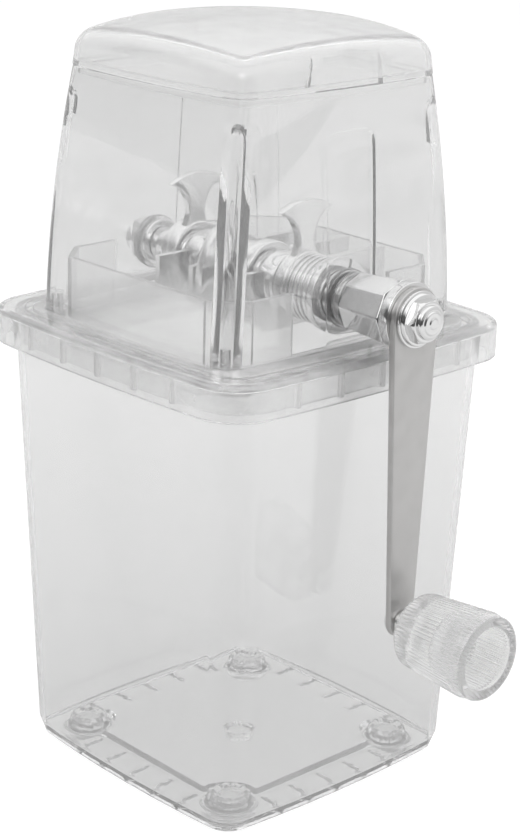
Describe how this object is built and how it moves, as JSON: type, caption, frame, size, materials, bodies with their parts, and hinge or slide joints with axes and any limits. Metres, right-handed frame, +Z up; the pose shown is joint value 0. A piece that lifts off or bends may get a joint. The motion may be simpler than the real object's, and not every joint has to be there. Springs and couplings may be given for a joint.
{
  "type": "hand-cranked ice crusher",
  "caption": "Clear square bin under a tapered clear hopper with a domed lid, a cranked shaft of axe-shaped claws between fixed knives, and a flat arm with a ribbed knob.",
  "frame": {"origin": "centre of the bin's base, on the surface it stands on", "axes": "+Z up, the crank's shaft along X with the crank on the +X side, the plain side walls facing -Y and +Y"},
  "size_m": [0.1815, 0.132, 0.262],
  "materials": {
    "clear_plastic": "clear, polished",
    "hazy_plastic": "clear, lightly hazed",
    "polished_metal": "polished",
    "blade_steel": "fine brushed"
  },
  "bodies": {
    "bin_body": {"bin": "clear_plastic", "feet": "clear_plastic"},
    "hopper_body": {"hopper": "clear_plastic", "chamber": "hazy_plastic", "chamber_screws": "polished_metal", "fixed_knives": "blade_steel", "near_bush": "polished_metal", "far_bush": "polished_metal"},
    "crank_body": {"shaft": "blade_steel", "claws": "blade_steel", "spacers": "blade_steel", "hub_near": "blade_steel", "hub_far": "blade_steel", "collar": "polished_metal", "crank_arm": "polished_metal", "arm_washer": "polished_metal", "crank_nut": "polished_metal", "far_washer": "polished_metal", "far_nut": "polished_metal", "knob_pin": "polished_metal"},
    "knob_body": {"knob": "clear_plastic"},
    "lid_body": {"lid": "clear_plastic"}
  },
  "joints": [
    {"name": "hopper_lift", "type": "slide", "parent": "bin_body", "child": "hopper_body", "axis": [0, 0, 1], "range_m": [0, 0.05]},
    {"name": "lid_lift", "type": "slide", "parent": "hopper_body", "child": "lid_body", "axis": [0, 0, 1], "range_m": [0, 0.03]},
    {"name": "crank_turn", "type": "hinge", "parent": "hopper_body", "child": "crank_body", "pos_m": [0, 0, 0.177], "axis": [1, 0, 0], "continuous": true},
    {"name": "knob_spin", "type": "hinge", "parent": "crank_body", "child": "knob_body", "pos_m": [0.09, 0, 0.0745], "axis": [1, 0, 0], "continuous": true}
  ]
}
